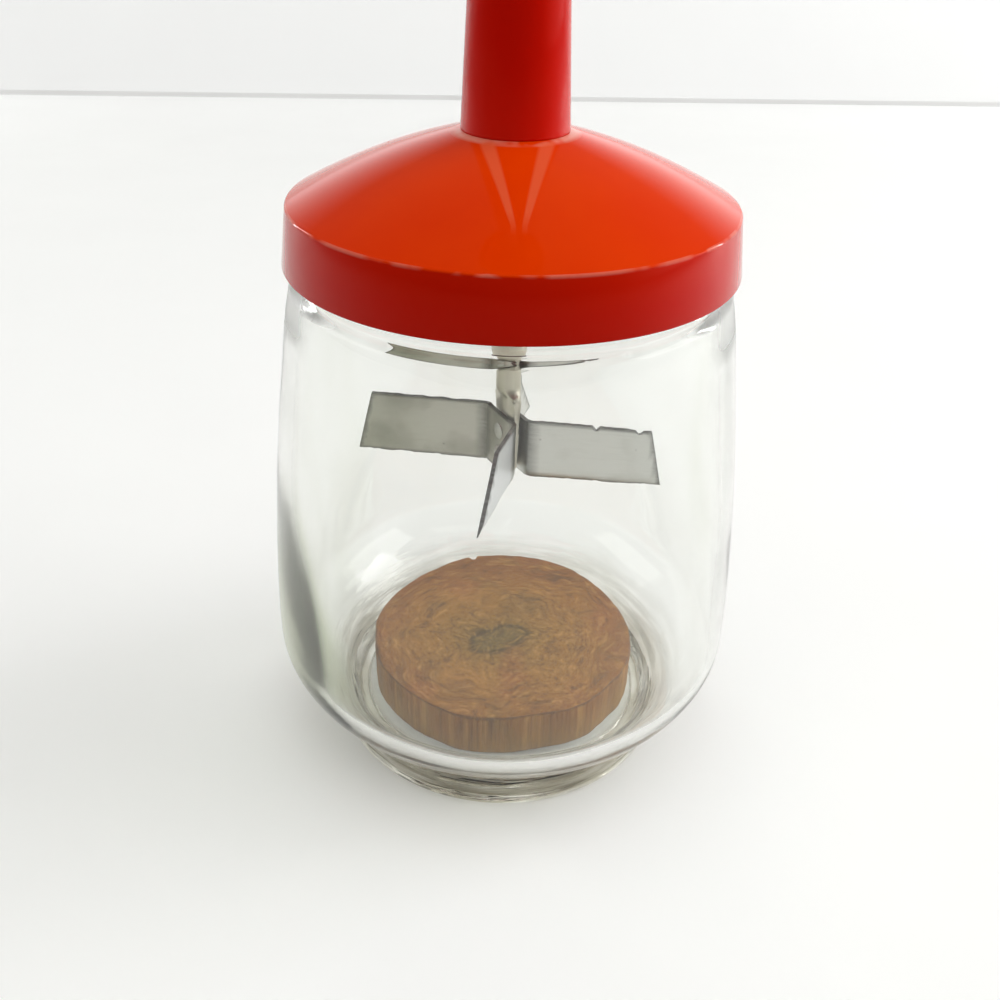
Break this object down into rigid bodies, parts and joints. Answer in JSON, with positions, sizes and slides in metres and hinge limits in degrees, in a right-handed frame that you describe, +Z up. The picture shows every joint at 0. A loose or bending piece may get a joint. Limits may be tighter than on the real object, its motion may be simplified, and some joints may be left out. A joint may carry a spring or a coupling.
{
  "type": "plunger food chopper",
  "caption": "Hand food chopper: a sprung palm plunger drives crossed steel blades down onto a wooden disc inside a footed glass jar with a domed lid.",
  "frame": {"origin": "centre of the ring that the jar stands on, at table height", "axes": "+Z up along the plunger, -Y towards the person using it, +X to their right"},
  "size_m": [0.1, 0.1, 0.2558],
  "materials": {
    "clear_glass": "clear polished glass, slightly uneven",
    "disc_wood": "bare end-grain wood, worn",
    "red_plastic": "glossy orange-red moulded plastic",
    "seal_rubber": "soft off-white rubber",
    "white_nylon": "satin white nylon",
    "fibre_washer": "dark brown fibre",
    "rod_steel": "polished stainless steel",
    "blade_steel": "rolled stainless sheet with ground edges",
    "spring_steel": "bright spring wire",
    "dark_steel": "darkened steel",
    "brass": "machined brass"
  },
  "bodies": {
    "jar": {"jar": "clear_glass"},
    "disc": {"chopping_disc": "disc_wood"},
    "lid": {"lid": "red_plastic", "lid_seal": "seal_rubber", "guide_tower": "red_plastic", "nut_washer": "fibre_washer", "tower_nut": "white_nylon", "upper_bush": "white_nylon", "guide_sleeve": "rod_steel", "lower_spring_washer": "rod_steel", "return_spring": "spring_steel"},
    "spring_slider": {"upper_spring_washer": "rod_steel"},
    "plunger": {"plunger_rod": "rod_steel", "rod_circlip": "dark_steel", "stop_collar": "dark_steel", "left_blade": "blade_steel", "right_blade": "blade_steel", "blade_rivets": "rod_steel", "plunger_knob": "red_plastic", "knob_insert": "brass"}
  },
  "joints": [
    {"name": "disc_turn", "type": "hinge", "parent": "jar", "child": "disc", "pos_m": [0, 0, 0.01335], "axis": [0, 0, 1], "continuous": true},
    {"name": "lid_lift", "type": "slide", "parent": "jar", "child": "lid", "axis": [0, 0, 1], "range_m": [0, 0.11]},
    {"name": "plunger_press", "type": "slide", "parent": "lid", "child": "spring_slider", "axis": [0, 0, -1], "range_m": [0, 0.0433], "stiffness_N_per_m": 480, "springref_m": -0.012, "deforming": ["return_spring"]},
    {"name": "plunger_turn", "type": "hinge", "parent": "spring_slider", "child": "plunger", "pos_m": [0, 0, 0.1813], "axis": [0, 0, 1], "continuous": true}
  ]
}
